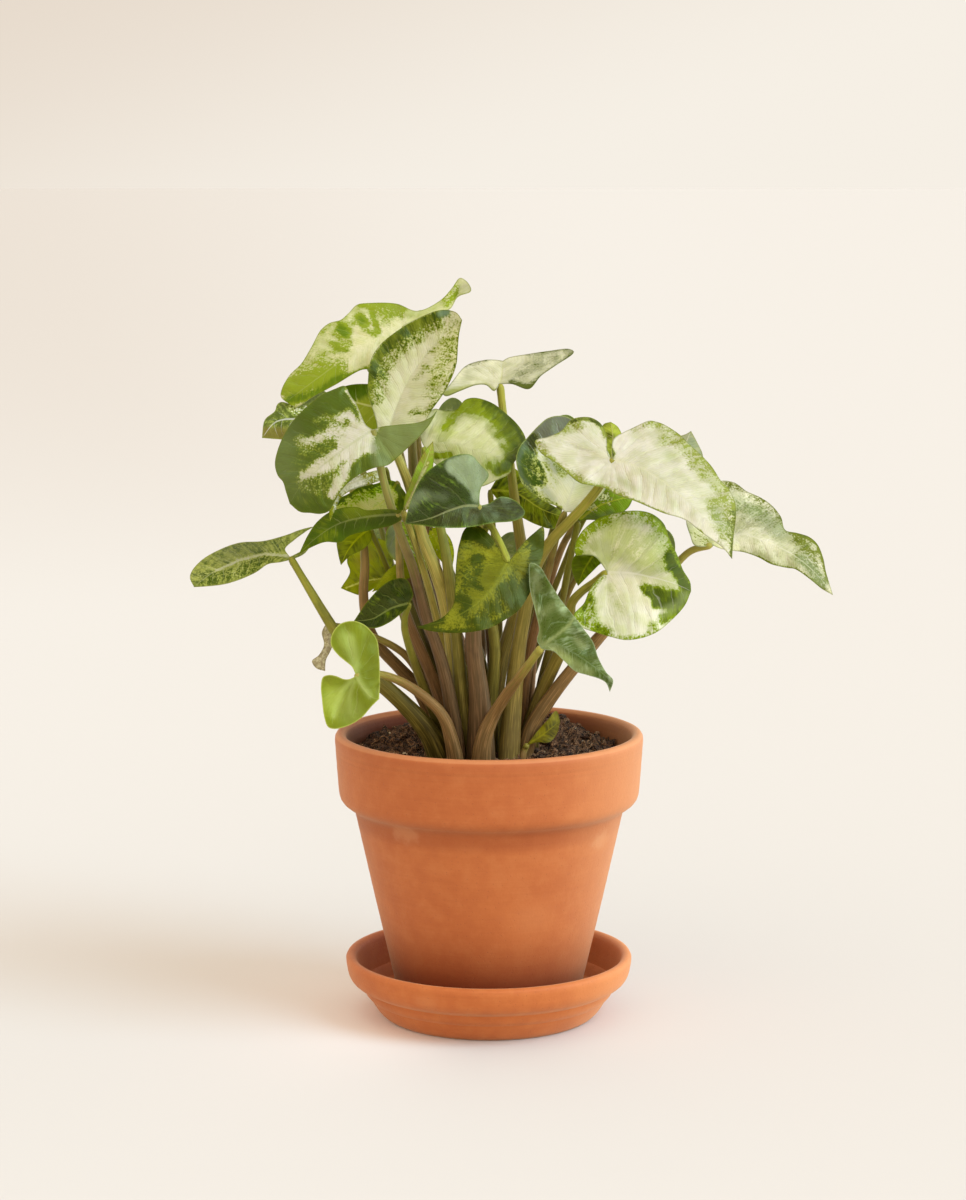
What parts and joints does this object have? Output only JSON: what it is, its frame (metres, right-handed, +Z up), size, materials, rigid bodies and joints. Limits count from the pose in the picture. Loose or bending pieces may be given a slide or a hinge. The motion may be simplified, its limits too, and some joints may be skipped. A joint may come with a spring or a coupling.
{
  "type": "arrowhead plant in a terracotta pot",
  "caption": "Bushy young arrowhead vine with cream and green marbled leaves on long stalks, in a rimmed terracotta pot that stands on its matching saucer.",
  "frame": {"origin": "centre of the saucer's flat underside, on the surface it stands on", "axes": "+Z up, -Y towards the side with the most leaves turned to the viewer, +X to that viewer's right"},
  "size_m": [0.3071, 0.1725, 0.3573],
  "materials": {
    "terracotta": "unglazed, matte",
    "soil": "moist potting mix",
    "leaf_cream": "satin leaf",
    "leaf_green": "satin leaf",
    "petiole": "satin stalk",
    "dry_leaf": "dry, matte"
  },
  "bodies": {
    "root": {"saucer": "terracotta", "pot": "terracotta", "soil": "soil", "leaf_top_left_blade": "leaf_cream", "leaf_top_left_petiole": "petiole", "leaf_upper_front_blade": "leaf_cream", "leaf_upper_front_petiole": "petiole", "leaf_left_front_blade": "leaf_green", "leaf_left_front_petiole": "petiole", "leaf_left_small": "leaf_green", "leaf_left_inner": "leaf_green", "leaf_top_right_blade": "leaf_cream", "leaf_top_right_petiole": "petiole", "leaf_centre_upper_blade": "leaf_cream", "leaf_centre_upper_petiole": "petiole", "leaf_centre_dark_blade": "leaf_green", "leaf_centre_dark_petiole": "petiole", "leaf_right_large_blade": "leaf_cream", "leaf_right_large_petiole": "petiole", "leaf_right_inner_blade": "leaf_cream", "leaf_right_inner_petiole": "petiole", "leaf_right_lobe": "leaf_green", "leaf_right_round_blade": "leaf_cream", "leaf_right_round_petiole": "petiole", "leaf_far_right_blade": "leaf_cream", "leaf_far_right_petiole": "petiole", "leaf_right_back_tip": "leaf_green", "leaf_centre_low_blade": "leaf_cream", "leaf_centre_low_petiole": "petiole", "leaf_right_hanging_blade": "leaf_green", "leaf_right_hanging_petiole": "petiole", "leaf_far_left_blade": "leaf_cream", "leaf_far_left_petiole": "petiole", "leaf_left_low_blade": "leaf_cream", "leaf_left_low_petiole": "petiole", "leaf_left_folded_blade": "leaf_green", "leaf_left_folded_petiole": "petiole", "leaf_left_olive": "leaf_green", "leaf_left_olive_small": "leaf_green", "leaf_left_level_blade": "leaf_green", "leaf_left_level_petiole": "petiole", "leaf_left_mottled": "leaf_green", "leaf_left_curled": "leaf_green", "leaf_furled_young": "leaf_green", "leaf_left_pale": "leaf_green", "leaf_centre_grey": "leaf_green", "leaf_centre_small": "leaf_green", "leaf_centre_olive": "leaf_green", "leaf_basal_young": "leaf_green", "leaf_right_dark_small": "leaf_green", "leaf_right_notch": "leaf_green", "leaf_back_1": "leaf_green", "leaf_back_2": "leaf_green", "leaf_back_3": "leaf_green", "leaf_back_4": "leaf_green", "leaf_back_5": "leaf_green", "leaf_back_6": "leaf_green", "leaf_back_7": "leaf_green", "leaf_back_8": "leaf_green", "leaf_spent": "dry_leaf"}
  },
  "joints": []
}
